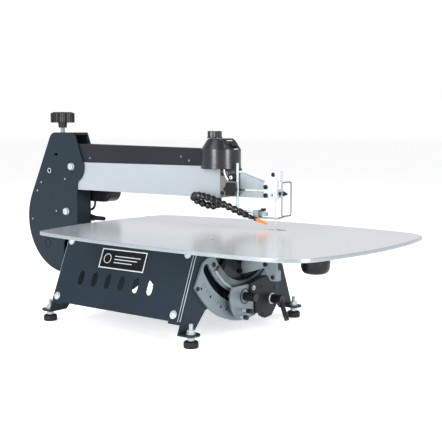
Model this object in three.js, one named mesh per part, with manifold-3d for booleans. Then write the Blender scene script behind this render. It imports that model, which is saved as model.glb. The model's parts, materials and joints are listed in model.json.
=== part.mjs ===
// Tilting-head scroll saw: a fixed table on a folded steel base, and a C-shaped head whose two
// arms carry the blade. Millimetres, +Z up, +X towards the operator, +Y to the operator's right.
// Everything is modelled from the blade (x = 0, y = 0) and the floor (z = 0), then moved so that
// the origin is the middle of the machine's footprint.
import * as THREE from "three";
import { mergeVertices } from "three/addons/utils/BufferGeometryUtils.js";
import Module from "manifold-3d";

const wasm = await Module();
wasm.setup();

// ---- driving dimensions -------------------------------------------------------------------
const THROAT = 530; // blade to the front edge of the rear frame
const TABLE_TOP = 204.5; // also the height of the tilt axis, which runs along X through the blade
const TABLE_THICK = 6.5;
const TABLE = { rear: -386, front: 286, near: -331, far: 137 };
const BASE_Y = -10; // the base stands a little to the near side of the blade
const BASE_LEAN = 0.4; // the side panels spread 0.4 mm outwards for each mm downwards
const BASE_TOP_HALF = 117; // half width of the brackets at their top edge
const BASE_REAR = -428;
const BASE_FRONT = -78;
const FOOT_HALF = 170; // sideways distance of the feet from the middle of the base
const FOOT_FRONT = -62;
const FOOT_REAR = -444;
const TAB_Z = 22; // underside of the foot tabs
const OPENING_R = 104; // round opening of the brackets, in which the head turns
const GEAR_TEETH = 164;
const PINION_TEETH = 15;
const MODULE = 1.5;
const SHAFT_Y = -22; // tilt pinion shaft
const HALF_GAP = 18; // half the gap between the two frame plates
const FRAME_PLATE = 3.5;
const ARM_HALF = 17; // half width of the upper arm
const ARM_BOTTOM = 261;
const ARM_TOP = 323;
const ARM_FRONT = -122;
const LOWER_BOTTOM = 144;
const LOWER_TOP = 176;
const LOWER_HALF = 15;
const LINK_PIVOT_X = -92; // pivots of the four blade links, on both arms
const LINK_FRONT_X = -16; // front pins of the same links
const UPPER_PINS = [286, 270]; // heights of the upper pair of links
const LOWER_PINS = [137, 153.5];
const UPPER_PIVOT = [-545, 313]; // the upper arm swings about this bolt
const HOUSING_X = -133;
const GAP = 0.3;
const SHIFT = { x: 206, y: 76.8 }; // from the blade to the middle of the footprint

const PINION_AT = TABLE_TOP - Math.sqrt(
  ((GEAR_TEETH + PINION_TEETH) * MODULE / 2) ** 2 - SHAFT_Y ** 2,
);

// ---- materials ----------------------------------------------------------------------------
const paint = (color, roughness, metalness) =>
  new THREE.MeshStandardMaterial({ color, roughness, metalness });
const MATERIALS = {
  coat: paint("#3c464d", 0.45, 0.1), // dark blue-grey powder coat
  table: paint("#c8ced2", 0.35, 0.8),
  arm: paint("#c8d4dc", 0.35, 0.6),
  channel: paint("#3c3e42", 0.5, 0.1),
  black: paint("#26292c", 0.4, 0.05),
  zinc: paint("#bccbce", 0.3, 0.9),
  trunnion: paint("#969fa5", 0.45, 0.7),
  casting: paint("#2d2a30", 0.6, 0.2),
  bearing: paint("#968e88", 0.5, 0.5),
  hose: paint("#232628", 0.5, 0.0),
  nozzle: paint("#f57d28", 0.45, 0.0),
  badge: paint("#121315", 0.3, 0.1),
  rubber: paint("#1d1e20", 0.85, 0.0),
  blade: paint("#8c9296", 0.3, 0.9),
};

// ---- solids -------------------------------------------------------------------------------
const toSolid = (geometry) => {
  const plain = new THREE.BufferGeometry();
  plain.setAttribute("position", geometry.getAttribute("position"));
  if (geometry.index) plain.setIndex(geometry.index);
  const merged = mergeVertices(plain, 1e-3);
  return new wasm.Manifold(new wasm.Mesh({
    numProp: 3,
    vertProperties: new Float32Array(merged.attributes.position.array),
    triVerts: new Uint32Array(merged.index.array),
  }));
};
const toGeometry = (solid) => {
  const mesh = solid.getMesh();
  const geometry = new THREE.BufferGeometry();
  geometry.setAttribute("position", new THREE.BufferAttribute(mesh.vertProperties, 3));
  geometry.setIndex(new THREE.BufferAttribute(mesh.triVerts, 1));
  geometry.computeVertexNormals();
  return geometry;
};
const join = (...geometries) => toGeometry(
  geometries.map(toSolid).reduce((whole, next) => whole.add(next)),
);
const cut = (geometry, ...tools) => toGeometry(
  tools.map(toSolid).reduce((left, tool) => left.subtract(tool), toSolid(geometry)),
);

// A box between two corners.
const box = (x0, x1, y0, y1, z0, z1) =>
  new THREE.BoxGeometry(Math.abs(x1 - x0), Math.abs(y1 - y0), Math.abs(z1 - z0))
    .translate((x0 + x1) / 2, (y0 + y1) / 2, (z0 + z1) / 2);
// A round bar between two points, tapered when a second radius is given.
const bar = (from, to, radius, endRadius = radius, sides = 16) => {
  const a = new THREE.Vector3(...from);
  const along = new THREE.Vector3(...to).sub(a);
  const turn = new THREE.Quaternion().setFromUnitVectors(
    new THREE.Vector3(0, 1, 0), along.clone().normalize(),
  );
  return new THREE.CylinderGeometry(endRadius, radius, along.length(), sides)
    .applyQuaternion(turn)
    .translate(...a.addScaledVector(along, 0.5).toArray());
};
const barX = (x0, x1, y, z, radius, sides) => bar([x0, y, z], [x1, y, z], radius, radius, sides);
const barY = (x, y0, y1, z, radius, sides) => bar([x, y0, z], [x, y1, z], radius, radius, sides);
const barZ = (x, y, z0, z1, radius, sides) => bar([x, y, z0], [x, y, z1], radius, radius, sides);
// Outlines drawn as [u, v] points or THREE.Shape, extruded along the axis they don't use.
const toShape = (outline) => outline instanceof THREE.Shape
  ? outline
  : new THREE.Shape(outline.map(([u, v]) => new THREE.Vector2(u, v)));
const extrude = (outline, depth, curveSegments = 12) =>
  new THREE.ExtrudeGeometry(toShape(outline), { depth, bevelEnabled: false, curveSegments });
const slabXY = (outline, z0, z1, segments) =>
  extrude(outline, z1 - z0, segments).translate(0, 0, z0);
const slabXZ = (outline, y0, y1, segments) =>
  extrude(outline, y1 - y0, segments).rotateX(Math.PI / 2).translate(0, y1, 0);
const CYCLE = new THREE.Matrix4().set(0, 0, 1, 0, 1, 0, 0, 0, 0, 1, 0, 0, 0, 0, 0, 1);
const slabYZ = (outline, x0, x1, segments) =>
  extrude(outline, x1 - x0, segments).applyMatrix4(CYCLE).translate(x0, 0, 0);
// A turned piece about a vertical axis, from [radius, height] points that start and end on it.
const turned = (profile, x, y, z, sides = 32) =>
  new THREE.LatheGeometry(profile.map(([r, h]) => new THREE.Vector2(r, h)), sides)
    .rotateX(Math.PI / 2).translate(x, y, z);
// A bar of round section along a smooth curve through the points.
const tube = (points, radius, steps, sides = 10) => {
  const section = new THREE.Shape();
  for (let i = 0; i < sides; i++) {
    const a = (i / sides) * 2 * Math.PI;
    const p = [radius * Math.cos(a), radius * Math.sin(a)];
    if (i) section.lineTo(...p);
    else section.moveTo(...p);
  }
  section.closePath();
  const path = new THREE.CatmullRomCurve3(points.map((p) => new THREE.Vector3(...p)));
  return new THREE.ExtrudeGeometry(section, { steps, extrudePath: path, bevelEnabled: false });
};
// Part of a ring about the tilt axis, in the YZ plane; angles in degrees from straight down,
// positive towards +Y.
const onArc = (radius, degrees) => {
  const a = THREE.MathUtils.degToRad(degrees);
  return [radius * Math.sin(a), TABLE_TOP - radius * Math.cos(a)];
};
const arcPoints = (radius, from, to, steps) =>
  Array.from({ length: steps + 1 }, (_, i) => onArc(radius, from + ((to - from) * i) / steps));
const ringSector = (inner, outer, from, to, steps = 24) => [
  ...arcPoints(outer, from, to, steps),
  ...arcPoints(inner, to, from, steps),
];
// A slot with round ends that follows an arc about the tilt axis.
const arcSlot = (radius, half, from, to, x0, x1) => join(
  slabYZ(ringSector(radius - half, radius + half, from, to), x0, x1),
  barX(x0, x1, ...onArc(radius, from), half, 20),
  barX(x0, x1, ...onArc(radius, to), half, 20),
);

// ---- assembly -----------------------------------------------------------------------------
const saw = new THREE.Group();
saw.position.set(SHIFT.x, SHIFT.y, 0);
const add = (name, material, geometry) => {
  const mesh = new THREE.Mesh(geometry, MATERIALS[material]);
  mesh.name = name;
  saw.add(mesh);
  return mesh;
};

// ---- table --------------------------------------------------------------------------------
// A rectangle with gently bowed sides and rounded corners.
function tableOutline() {
  const corners = [
    [-337, -299], [248, -320], [262, 104], [-372, 96],
  ];
  const bows = [[-60, -350], [316, -112], [-40, 174], [-401, -100]];
  const shape = new THREE.Shape();
  const trims = [0.03, 0.1, 0.1, 0.04]; // share of its sides that each rounded corner takes
  const at = (i, t) => {
    const [a, b, c] = [corners[i], bows[i], corners[(i + 1) % 4]];
    return [0, 1].map((k) => (1 - t) ** 2 * a[k] + 2 * t * (1 - t) * b[k] + t * t * c[k]);
  };
  for (let i = 0; i < 4; i++) {
    const next = (i + 1) % 4;
    const [from, to] = [trims[i], 1 - trims[next]];
    for (let s = 0; s <= 8; s++) {
      const p = at(i, from + ((to - from) * s) / 8);
      if (i || s) shape.lineTo(...p);
      else shape.moveTo(...p);
    }
    shape.quadraticCurveTo(...corners[next], ...at(next, trims[next]));
  }
  return shape;
}
function table() {
  const plate = slabXY(tableOutline(), TABLE_TOP - TABLE_THICK, TABLE_TOP, 6);
  const slot = join(
    box(-6, 14, -8.5, 8.5, TABLE_TOP - 10, TABLE_TOP + 1),
    barZ(-6, 0, TABLE_TOP - 10, TABLE_TOP + 1, 8.5),
    barZ(14, 0, TABLE_TOP - 10, TABLE_TOP + 1, 8.5),
  );
  return cut(plate, slot);
}
add("table", "table", table());

// ---- base ---------------------------------------------------------------------------------
const BRACKET_TOP = TABLE_TOP - TABLE_THICK - GAP;
const baseHalf = (z) => BASE_TOP_HALF + (BRACKET_TOP - z) * BASE_LEAN;
const bracketOutline = (notch, low) => [
  [BASE_Y - baseHalf(TAB_Z), TAB_Z], [BASE_Y - 142, TAB_Z], [BASE_Y - 109, 57],
  [BASE_Y - 92, notch], [BASE_Y - 78, notch - 12], [BASE_Y - 60, low], [BASE_Y + 60, low],
  [BASE_Y + 78, notch - 12], [BASE_Y + 92, notch],
  [BASE_Y + 109, 57], [BASE_Y + 142, TAB_Z], [BASE_Y + baseHalf(TAB_Z), TAB_Z],
  [BASE_Y + baseHalf(BRACKET_TOP), BRACKET_TOP],
  [BASE_Y - baseHalf(BRACKET_TOP), BRACKET_TOP],
];
// A folded sheet: the web, a flange along each side panel, a foot tab at each leg and a strip
// under the table. `inward` is the X direction that points to the middle of the base.
function bracket(webX, inward, notch, low) {
  const sheet = 3;
  const span = (a, b) => [Math.min(a, b), Math.max(a, b)];
  let solid = cut(
    slabYZ(bracketOutline(notch, low), ...span(webX, webX + inward * sheet)),
    barX(...span(webX - 5, webX + 8), 0, TABLE_TOP, OPENING_R, 64),
  );
  for (const side of [-1, 1]) {
    const edge = (z, inset) => BASE_Y + side * (baseHalf(z) - inset);
    const flange = slabYZ(
      [
        [edge(40, 0), 40], [edge(40, sheet), 40],
        [edge(185, sheet), 185], [edge(185, 0), 185],
      ],
      ...span(webX, webX + inward * 32),
    );
    const footX = webX - inward * 16;
    const footY = BASE_Y + side * FOOT_HALF;
    const tab = join(
      box(webX, footX, footY - 17, footY + 17, TAB_Z, TAB_Z + sheet),
      barZ(footX, footY, TAB_Z, TAB_Z + sheet, 17, 28),
    );
    const ledge = box(
      webX, webX + inward * 24, edge(BRACKET_TOP, 1), edge(BRACKET_TOP, 14),
      BRACKET_TOP - sheet, BRACKET_TOP,
    );
    solid = join(solid, flange, tab, ledge);
  }
  return solid;
}
// The slot of the scale plate goes on through the front bracket.
const SLOT_R = 139;
const SLOT_FROM = -60.6;
const SLOT_TO = 27;
add("front_bracket", "coat", cut(
  bracket(BASE_FRONT, -1, 62, 46),
  arcSlot(SLOT_R, 11, SLOT_FROM, SLOT_TO, BASE_FRONT - 6, BASE_FRONT + 3),
));
add("rear_bracket", "coat", bracket(BASE_REAR, 1, 53, 34));

const PANEL_SKEW = 0.4; // keeps the panel's inner face off the flanges
function sidePanel(side) {
  const face = (z, out) => BASE_Y + side * (baseHalf(z) + PANEL_SKEW + out);
  const outline = [
    [face(45, 0), 45], [face(45, 2.5), 45], [face(188, 2.5), 188], [face(188, 0), 188],
  ];
  const sheet = slabYZ(outline, BASE_REAR + 3, BASE_FRONT - 6);
  const vents = Array.from({ length: 6 }, (_, i) => {
    const x = -359 + i * 37.4;
    return join(
      box(x - 7.5, x + 7.5, BASE_Y + side * 240, BASE_Y, 90, 104),
      barY(x, BASE_Y + side * 240, BASE_Y, 90, 7.5, 14),
      barY(x, BASE_Y + side * 240, BASE_Y, 104, 7.5, 14),
    );
  });
  return cut(sheet, ...vents);
}
add("left_side_panel", "coat", sidePanel(-1));
add("right_side_panel", "coat", sidePanel(1));

function badgePlate() {
  const out = (z, off) => BASE_Y - (baseHalf(z) + PANEL_SKEW + 2.5 + GAP + off);
  return slabYZ(
    [[out(121, 0), 121], [out(159, 0), 159], [out(159, 1.2), 159], [out(121, 1.2), 121]],
    -318, -197,
  );
}
add("badge_plate", "badge", badgePlate());

// Levelling feet: a rubber-soled pad and its threaded stud in one piece, locked by a nut.
function foot(x, y) {
  return join(
    turned([[0, 0], [13, 0], [14, 1.5], [14, 10], [12.5, 12.5], [0, 12.5]], x, y, 0, 20),
    barZ(x, y, 12, 44, 4, 10),
    bar([x, y, 14], [x, y, TAB_Z - GAP], 7, 7, 6),
  );
}
const FEET = {
  front_left: [FOOT_FRONT, BASE_Y - FOOT_HALF],
  front_right: [FOOT_FRONT, BASE_Y + FOOT_HALF],
  rear_left: [FOOT_REAR, BASE_Y - FOOT_HALF],
  rear_right: [FOOT_REAR, BASE_Y + FOOT_HALF],
};
for (const [place, [x, y]] of Object.entries(FEET))
  add(`levelling_foot_${place}`, "rubber", foot(x, y));
for (const name of ["front_bracket", "rear_bracket"]) {
  const mesh = saw.getObjectByName(name);
  mesh.geometry = cut(
    mesh.geometry,
    ...Object.values(FEET).map(([x, y]) => barZ(x, y, TAB_Z - 2, TAB_Z + 6, 4 + GAP, 12)),
  );
}

// ---- fixed trunnion: scale plate, toothed sector ---------------------------------------------
const PLATE_X = [BASE_FRONT + GAP, BASE_FRONT + 5];
const GEAR_X = [PLATE_X[1] + GAP, PLATE_X[1] + 6.3];
function scalePlate() {
  const outline = [
    ...arcPoints(184, -57, 12, 20),
    ...arcPoints(156, 14, 50, 8),
    ...arcPoints(OPENING_R + 2, 54, -62, 24),
    [-107, 157], [-118, 156], [-131, 148], [-137, 136],
  ];
  return cut(
    slabYZ(outline, ...PLATE_X),
    arcSlot(SLOT_R, 9.5, SLOT_FROM, SLOT_TO, PLATE_X[0] - 1, PLATE_X[1] + 1),
    barX(PLATE_X[0] - 1, PLATE_X[1] + 1, ...onArc(SLOT_R, 40), 3, 12),
  );
}
add("scale_plate", "trunnion", scalePlate());

// Trapezoid teeth; the tooth at `phase` degrees points away from the centre.
function toothed(teeth, from, to, phase, at) {
  const pitch = 360 / teeth;
  const root = (teeth * MODULE) / 2 - 1.15 * MODULE;
  const tip = (teeth * MODULE) / 2 + 0.8 * MODULE;
  const points = [];
  const first = Math.ceil((from - phase) / pitch);
  const last = Math.floor((to - phase) / pitch);
  for (let i = first; i <= last; i++) {
    const middle = phase + i * pitch;
    for (const [radius, share] of [[root, -0.34], [tip, -0.15], [tip, 0.15], [root, 0.34]])
      points.push(at(radius, middle + share * pitch));
  }
  return points;
}
const SHAFT_ANGLE = THREE.MathUtils.radToDeg(Math.atan2(SHAFT_Y, TABLE_TOP - PINION_AT));
add("tilt_gear", "trunnion", slabYZ(
  [
    ...toothed(GEAR_TEETH, -52, 44, SHAFT_ANGLE, onArc),
    ...arcPoints(109, 45, -53, 24),
  ],
  ...GEAR_X,
));

// A dark shield behind the slot, just beyond the reach of the head's casting.
add("slot_shield", "channel", slabYZ(ringSector(OPENING_R, 153, -66, 32, 30), -97, -95));

// Black blower housing under the front right of the table, which feeds the air hose.
const BLOWER = { x: 38, y: 84, bottom: 112.5 };
function blower() {
  const { x, y, bottom } = BLOWER;
  return turned(
    [
      [0, 0], [18.5, 0], [23.5, 2], [27, 6.5], [29, 14], [29.6, 24], [29.6, 78], [26, 82],
      [26, BRACKET_TOP - bottom], [0, BRACKET_TOP - bottom],
    ],
    x, y, bottom, 40,
  );
}
add("blower_housing", "black", blower());

// ---- head: rear frame -----------------------------------------------------------------------
// The frame's back is a big arc that runs on as a straight line to the top.
const BACK_ARC = { x: -575, z: 190, r: 123, start: 153.4, end: 270 };
const BACK_TOP = [-622, 372];
const FRAME_TOP = 390;
const backArc = (inset, degrees) => {
  const a = THREE.MathUtils.degToRad(degrees);
  const r = BACK_ARC.r - inset;
  return [BACK_ARC.x + r * Math.cos(a), BACK_ARC.z + r * Math.sin(a)];
};
function framePlate(side) {
  const { x, z, r, start, end } = BACK_ARC;
  const front = -THROAT;
  const [px, pz] = UPPER_PIVOT;
  const rad = THREE.MathUtils.degToRad;
  const shape = new THREE.Shape();
  shape.moveTo(-537, FRAME_TOP);
  shape.lineTo(-602, FRAME_TOP);
  shape.quadraticCurveTo(-615, FRAME_TOP - 1, ...BACK_TOP);
  shape.lineTo(...backArc(0, start));
  shape.absarc(x, z, r, rad(start), rad(end), false);
  shape.lineTo(-577, z - r + 1);
  shape.lineTo(-577, 134);
  shape.quadraticCurveTo(-577, 146, -565, 146);
  shape.lineTo(front, 146);
  shape.lineTo(front, 272);
  shape.quadraticCurveTo(front, 280, ...[px + 38 * Math.cos(rad(-50)), pz + 38 * Math.sin(rad(-50))]);
  shape.absarc(px, pz, 38, rad(-50), rad(8), false);
  shape.lineTo(-537, FRAME_TOP);
  const y = side * (HALF_GAP + FRAME_PLATE / 2);
  const half = FRAME_PLATE / 2;
  return cut(
    slabXZ(shape, y - half, y + half, 16),
    barY(px, y - 5, y + 5, pz, 5.9, 16),
    barY(-564, y - 5, y + 5, 210, 5.9, 16),
    barY(-622, y - 5, y + 5, 302, 4.5, 16),
    box(-604, -592, y - 5, y + 5, 337.5, 342.5),
  );
}
add("left_frame_plate", "coat", framePlate(-1));
add("right_frame_plate", "coat", framePlate(1));

const INNER = HALF_GAP - GAP; // spacers between the frame plates reach this far sideways
function backStrip() {
  const line = (inset) => [
    BACK_TOP[0] - 3 + inset * 0.894, BACK_TOP[1] - 6 - inset * 0.447,
  ];
  const arc = (inset, from, to) => Array.from(
    { length: 13 }, (_, i) => backArc(inset, from + ((to - from) * i) / 12),
  );
  return slabXZ(
    [line(1), ...arc(1, 154, 268), ...arc(4, 268, 154), line(4)], -INNER, INNER,
  );
}
add("frame_back_strip", "coat", backStrip());
add("frame_cap", "coat", cut(
  box(-607, -534, -INNER, INNER, 384.5, 389),
  barZ(-597, 0, 380, 392, 5.6, 20),
));
add("frame_web", "coat", box(-534, -531, -INNER, INNER, 178, 257));

// Through bolts with hexagon heads.
const throughBolt = (x, z, radius) => join(
  barY(x, -24, 24, z, radius, 16),
  barY(x, -27.5, -HALF_GAP - FRAME_PLATE - GAP, z, radius + 3.6, 6),
  barY(x, HALF_GAP + FRAME_PLATE + GAP, 27.5, z, radius + 3.6, 6),
);
add("upper_arm_pivot_bolt", "zinc", throughBolt(...UPPER_PIVOT, 4.6));
add("frame_bolt", "zinc", throughBolt(-564, 210, 4.6));

// ---- head: lower arm ------------------------------------------------------------------------
const ROD_R = 3;
const ROD_REAR = -623.3;
const LOWER_ROD_Z = 160;
const RISER_X = [-205, -197];
add("lower_arm", "arm", cut(
  box(-560, -103.3, -LOWER_HALF, LOWER_HALF, LOWER_BOTTOM, LOWER_TOP),
  box(-561, -102, -LOWER_HALF + 3, LOWER_HALF - 3, LOWER_BOTTOM + 3, LOWER_TOP - 3),
  box(RISER_X[0] - 10, RISER_X[1] + 10, -5, 5, LOWER_BOTTOM - 1, LOWER_BOTTOM + 4),
));
const HEAD_DISC = ringSector(58, OPENING_R - 0.5, -38, 38);
const GUIDE_ANGLE = -17.5; // the guide bolt sits this far round the slot when the head is upright
function lowerHeadCasting() {
  const body = join(
    box(-103, -79.3, -16, 16, 106, 178),
    slabYZ(HEAD_DISC, -90, -79.3),
    slabYZ(ringSector(90, 149, GUIDE_ANGLE - 6, GUIDE_ANGLE + 6, 6), -90, -81.6),
  );
  const slotted = cut(body, box(-104, -78, -5, 5, 100, 166));
  return join(slotted, ...LOWER_PINS.map((z) => barY(LINK_PIVOT_X, -16, 16, z, 3, 12)));
}
add("lower_head_casting", "black", lowerHeadCasting());
add("rear_head_casting", "black", cut(
  join(slabYZ(HEAD_DISC, -434, -423), box(-450, -423, -21, 21, 138, 182)),
  box(-451, -422, -LOWER_HALF - GAP, LOWER_HALF + GAP, LOWER_BOTTOM - GAP, LOWER_TOP + GAP),
));
const GUIDE = onArc(SLOT_R, GUIDE_ANGLE);
add("guide_bolt", "zinc", join(
  barX(-81.3, PLATE_X[1] + 2, ...GUIDE, 4, 16),
  barX(PLATE_X[1] + GAP, PLATE_X[1] + 5.5, ...GUIDE, 6.5, 6),
));

// ---- head: tilt drive, in front of the fixed trunnion ---------------------------------------
const COVER_X = [-61, -57];
function pinionCover() {
  const r = 45;
  const rad = THREE.MathUtils.degToRad;
  const [top, side] = [94, -9.6];
  const start = Math.PI - Math.asin((top - PINION_AT) / r);
  const shape = new THREE.Shape();
  shape.moveTo(SHAFT_Y + r * Math.cos(start), top);
  shape.absarc(SHAFT_Y, PINION_AT, r, start, rad(310), false);
  shape.lineTo(7, 59);
  shape.lineTo(side, 62);
  shape.lineTo(side, top);
  shape.closePath();
  return join(
    cut(slabYZ(shape, ...COVER_X), barX(-66, -50, SHAFT_Y, PINION_AT, 5.6, 16)),
    slabYZ([[-5, 44], [7, 44], [7, 52], [-5, 52]], -64.9, COVER_X[0] + 1),
  );
}
add("pinion_cover", "trunnion", pinionCover());
add("tilt_casting", "casting", cut(
  slabYZ(
    [
      [-9, 96], [8, 100], [30, 104], [50, 104], [62, 100], [85, 88], [84, 66], [82, 38],
      [64, 20], [44, 18], [34, 23], [27, 32], [9, 33], [8.2, 60.4], [-9, 63.4],
    ],
    -64.9, -52,
  ),
  barX(-66, -50, SHAFT_Y, PINION_AT, 13.2, 24),
));
const pinionPoint = (radius, degrees) => {
  const a = THREE.MathUtils.degToRad(degrees);
  return [SHAFT_Y + radius * Math.cos(a), PINION_AT + radius * Math.sin(a)];
};
// A gap of the pinion faces the tooth of the fixed sector that points at the shaft.
const MESH_ANGLE = THREE.MathUtils.radToDeg(Math.atan2(TABLE_TOP - PINION_AT, -SHAFT_Y));
function tiltKnob() {
  const pinion = slabYZ(
    toothed(PINION_TEETH, 0, 359.9, MESH_ANGLE + 180 / PINION_TEETH, pinionPoint),
    GEAR_X[0] + 0.5, GEAR_X[1],
  );
  const grip = Array.from({ length: 48 }, (_, i) => pinionPoint(i % 2 ? 8.4 : 7.8, i * 7.5));
  return join(
    pinion,
    barX(GEAR_X[1] - 1, -50, SHAFT_Y, PINION_AT, 5, 16),
    slabYZ(grip, -56.7, -30),
  );
}
add("tilt_knob", "black", tiltKnob());

const LEVER = { y: 63, z: 55.5 };
add("tilt_lock_lever", "black", join(
  barX(-51.7, -26, LEVER.y, LEVER.z, 9, 20),
  bar([-31, LEVER.y, LEVER.z], [-9, LEVER.y - 8, 17], 4.6, 5, 12),
));

// ---- head: drive ----------------------------------------------------------------------------
const MOTOR = { x: -246, z: 100, r: 37 };
function motor() {
  const { x, z, r } = MOTOR;
  return join(
    turned(
      [[0, 0], [r - 6, 0], [r, 5], [r, 60], [r - 4, 66], [12, 66], [12, 68], [0, 68]], 0, 0, 0, 32,
    ).rotateX(-Math.PI / 2).translate(x, -44, z),
    box(x - 20, x + 20, -12, 12, z + 30, LOWER_BOTTOM - GAP),
  );
}
add("drive_motor", "black", motor());
add("motor_crank", "zinc", join(
  barY(MOTOR.x, 24.4, 31, MOTOR.z, 4, 12),
  barY(MOTOR.x, 30, 35, MOTOR.z, 14, 24),
  barY(MOTOR.x, 34, 40, MOTOR.z + 6, 3, 10),
));
const LOWER_DRIVE_Z = 118;
add("lower_drive_rod", "zinc", join(
  barX(ROD_REAR, RISER_X[1] - 2, 0, LOWER_ROD_Z, ROD_R, 12),
  box(...RISER_X, -3.5, 3.5, LOWER_DRIVE_Z - 4, LOWER_ROD_Z + 4),
  barX(RISER_X[0] + 2, -94.6, 0, LOWER_DRIVE_Z, ROD_R, 12),
  barY(-201, 0, 38, LOWER_DRIVE_Z, ROD_R, 12),
  box(-230, -196, 36, 40, LOWER_DRIVE_Z - 5, LOWER_DRIVE_Z + 5),
));
const UPPER_ROD_Z = 303;
add("upper_drive_rod", "zinc", barX(ROD_REAR, -95.6, 0, UPPER_ROD_Z, ROD_R, 12));
const REAR_PIVOT = [-631, 235.5];
add("rear_rocker", "zinc", cut(
  join(
    box(-638, -624, -4, 4, LOWER_ROD_Z, UPPER_ROD_Z),
    barY(-631, -4, 4, LOWER_ROD_Z, 7, 20),
    barY(-631, -4, 4, UPPER_ROD_Z, 7, 20),
  ),
  barY(REAR_PIVOT[0], -5, 5, REAR_PIVOT[1], 4.4, 16),
));
add("rear_rocker_pin", "zinc", barY(REAR_PIVOT[0], -INNER, INNER, REAR_PIVOT[1], 4, 16));

// ---- head: electrical -----------------------------------------------------------------------
function controlBox() {
  const shape = new THREE.Shape();
  shape.moveTo(-590, 234);
  shape.lineTo(-590, 302);
  shape.lineTo(-586, 306);
  shape.lineTo(-478, 306);
  shape.quadraticCurveTo(-468, 306, -468, 296);
  shape.lineTo(-468, 258);
  shape.quadraticCurveTo(-470, 233, -494, 232);
  shape.lineTo(-588, 232);
  shape.lineTo(-590, 234);
  return slabXZ(shape, 28, 58, 6);
}
// The box carries a short cable that ends at the frame plate.
const CONTROL_CABLE = [
  [-531, 36, 234], [-531, 36, 228], [-532, 35.6, 221], [-535, 34, 215], [-540, 30.5, 211.5],
  [-543.5, 26.5, 210.5], [-544, 24.5, 210.5], [-544, 21.9, 210.5],
];
add("control_box", "black", join(controlBox(), tube(CONTROL_CABLE, 2.8, 16, 6)));
add("cable_gland", "rubber", join(
  box(-552, -540, HALF_GAP + FRAME_PLATE + GAP, 36, 185, 201),
  barX(-541, -530, 31.5, 193, 7, 6),
  bar([-531, 31.5, 193], [-497, 31.5, 193], 5.6, 4.6, 16),
));

// ---- upper arm ------------------------------------------------------------------------------
const ARM_REAR = -615;
add("upper_arm", "arm", cut(
  box(ARM_REAR, ARM_FRONT, -ARM_HALF, ARM_HALF, ARM_BOTTOM, ARM_TOP),
  box(ARM_REAR - 1, ARM_FRONT + 1, 3 - ARM_HALF, ARM_HALF - 3, ARM_BOTTOM + 3, ARM_TOP - 3),
  barY(UPPER_PIVOT[0], -20, 20, UPPER_PIVOT[1], 4.9, 20),
));
const COVER_FRONT = HOUSING_X - 30;
function armCover() {
  const top = (inset) => [
    [-560, ARM_TOP + 0.4 - inset * 2], [COVER_FRONT, ARM_TOP + 0.4 - inset * 2],
    [COVER_FRONT, 357.5 - inset], [-520, 365 - inset], [-560, 365 - inset],
  ];
  const half = ARM_HALF + 0.4;
  return cut(
    slabXZ(top(0), -half, half),
    slabXZ(top(2), 2 - half, half - 2).scale(1.02, 1, 1).translate(7, 0, 0),
    barZ(HOUSING_X, 0, 300, 380, 40 + GAP, 48),
  );
}
add("arm_cover", "channel", armCover());

const HOUSING_BOTTOM = ARM_TOP + 0.4;
// The sloping face of the switch housing runs from PANEL_HIGH down to PANEL_LOW, in x and z.
const PANEL_HIGH = [-118, 378];
const PANEL_LOW = [-94, 354.5];
const panelLength = Math.hypot(PANEL_LOW[0] - PANEL_HIGH[0], PANEL_LOW[1] - PANEL_HIGH[1]);
const panelAlong = [0, 1].map((k) => (PANEL_LOW[k] - PANEL_HIGH[k]) / panelLength);
const panelOut = [-panelAlong[1], panelAlong[0]];
const onPanel = (s, out) => [0, 1].map(
  (k) => PANEL_HIGH[k] + panelAlong[k] * s + panelOut[k] * out,
);
function switchHousing() {
  const shell = cut(
    turned(
      [[0, 0], [40, 0], [40, 32.5], [38.6, 34.4], [28.8, 50.6], [24.5, 54.6], [0, 54.6]],
      HOUSING_X, 0, HOUSING_BOTTOM, 64,
    ),
    slabXZ([PANEL_HIGH, onPanel(40, 0), [-60, 400], [PANEL_HIGH[0], 400]], -50, 50),
  );
  const inside = turned([[0, -1], [37, -1], [37, 26], [0, 26]], HOUSING_X, 0, HOUSING_BOTTOM, 24);
  const plate = slabXZ(
    [onPanel(3, -1), onPanel(29, -1), onPanel(29, 1.2), onPanel(3, 1.2)], -14, 14,
  );
  return join(cut(shell, inside), plate);
}
add("switch_housing", "black", switchHousing());
add("power_switch", "black", slabXZ(
  [onPanel(14.5, 1.8), onPanel(25.5, 1.8), onPanel(25.5, 5.4), onPanel(20, 4.2), onPanel(14.5, 4.6)],
  -8, 8,
));
const lobed = (lobes, mean, depth, steps, at) => Array.from({ length: lobes * steps }, (_, i) => {
  const a = (i / (lobes * steps)) * 2 * Math.PI;
  const r = mean + depth * Math.cos(lobes * a);
  return at(r * Math.cos(a), r * Math.sin(a));
});
add("speed_knob", "black", join(
  turned([[0, 0], [16, 0], [16, 2], [0, 2]], -149, 0, 378.4, 24),
  slabXY(lobed(12, 14, 0.6, 4, (x, y) => [x - 149, y]), 379, 392.5),
));
add("tension_knob", "black", join(
  barZ(-597, 0, ARM_TOP + 0.6, 402, 4.8, 12),
  turned([[0, 0], [9.5, 0], [10.5, 12], [0, 12]], -597, 0, 401, 20),
  slabXY(lobed(10, 26.4, 1.6, 6, (x, y) => [x - 597, y]), 412.5, 434.6),
  turned([[0, 0], [23.6, 0], [22.6, 1.8], [0, 2.4]], -597, 0, 434.6, 24),
));

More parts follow.
